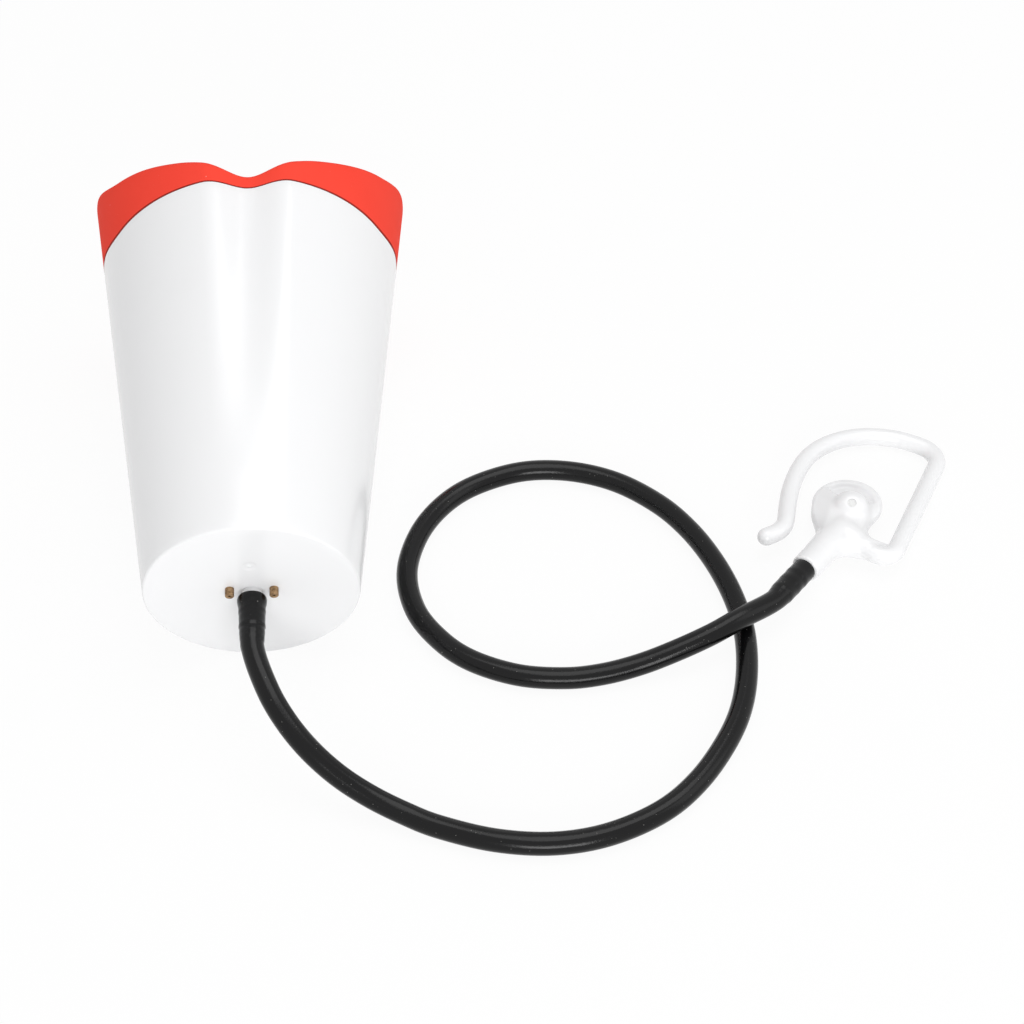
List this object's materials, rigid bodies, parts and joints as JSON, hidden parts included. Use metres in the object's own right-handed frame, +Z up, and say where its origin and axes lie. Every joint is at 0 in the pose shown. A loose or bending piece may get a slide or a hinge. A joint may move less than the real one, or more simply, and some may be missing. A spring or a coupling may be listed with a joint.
{
  "type": "voice-muffling practice cup with listening hose",
  "caption": "Hand-held tapered cup lying on its side, with a soft face seal at its mouth, inner sound baffles, and a listening hose that ends in a small ear hook.",
  "frame": {"origin": "middle of the footprint of the cup and the ear hook, on the surface they lie on; the free hose is left out", "axes": "+Z up; +Y the way the cup's mouth looks in plan, with its closed end towards -Y; +X from the cup towards the ear hook"},
  "size_m": [0.289, 0.2482, 0.0986],
  "materials": {
    "white_plastic": "glossy moulded plastic",
    "inner_plastic": "satin moulded plastic",
    "red_silicone": "matte silicone",
    "black_rubber": "smooth, slightly shiny rubber",
    "brass": "dull, lightly tarnished",
    "foam": "open-cell foam",
    "mesh": "fine woven mesh"
  },
  "bodies": {
    "cup": {"cup_shell": "white_plastic", "chamber_liner": "inner_plastic", "front_grille": "inner_plastic", "foam_front": "foam", "baffle_plate": "inner_plastic", "foam_rear": "foam", "foam_spider": "inner_plastic", "pickup_horn": "inner_plastic", "hose_spigot": "white_plastic", "spigot_gasket": "black_rubber", "vent_tube_left": "brass", "vent_tube_right": "brass", "listening_hose": "black_rubber"},
    "seal": {"mouth_seal": "red_silicone"},
    "hook": {"ear_hook": "white_plastic", "sound_screen": "mesh"}
  },
  "joints": [
    {"name": "seal_pull_off", "type": "slide", "parent": "cup", "child": "seal", "axis": [0, 0.9922, 0.1246], "range_m": [0, 0.022]},
    {"name": "hook_turn", "type": "hinge", "parent": "cup", "child": "hook", "pos_m": [0.0852, -0.0565, 0.00875], "axis": [0.6609, 0.747, -0.0715], "continuous": true}
  ]
}
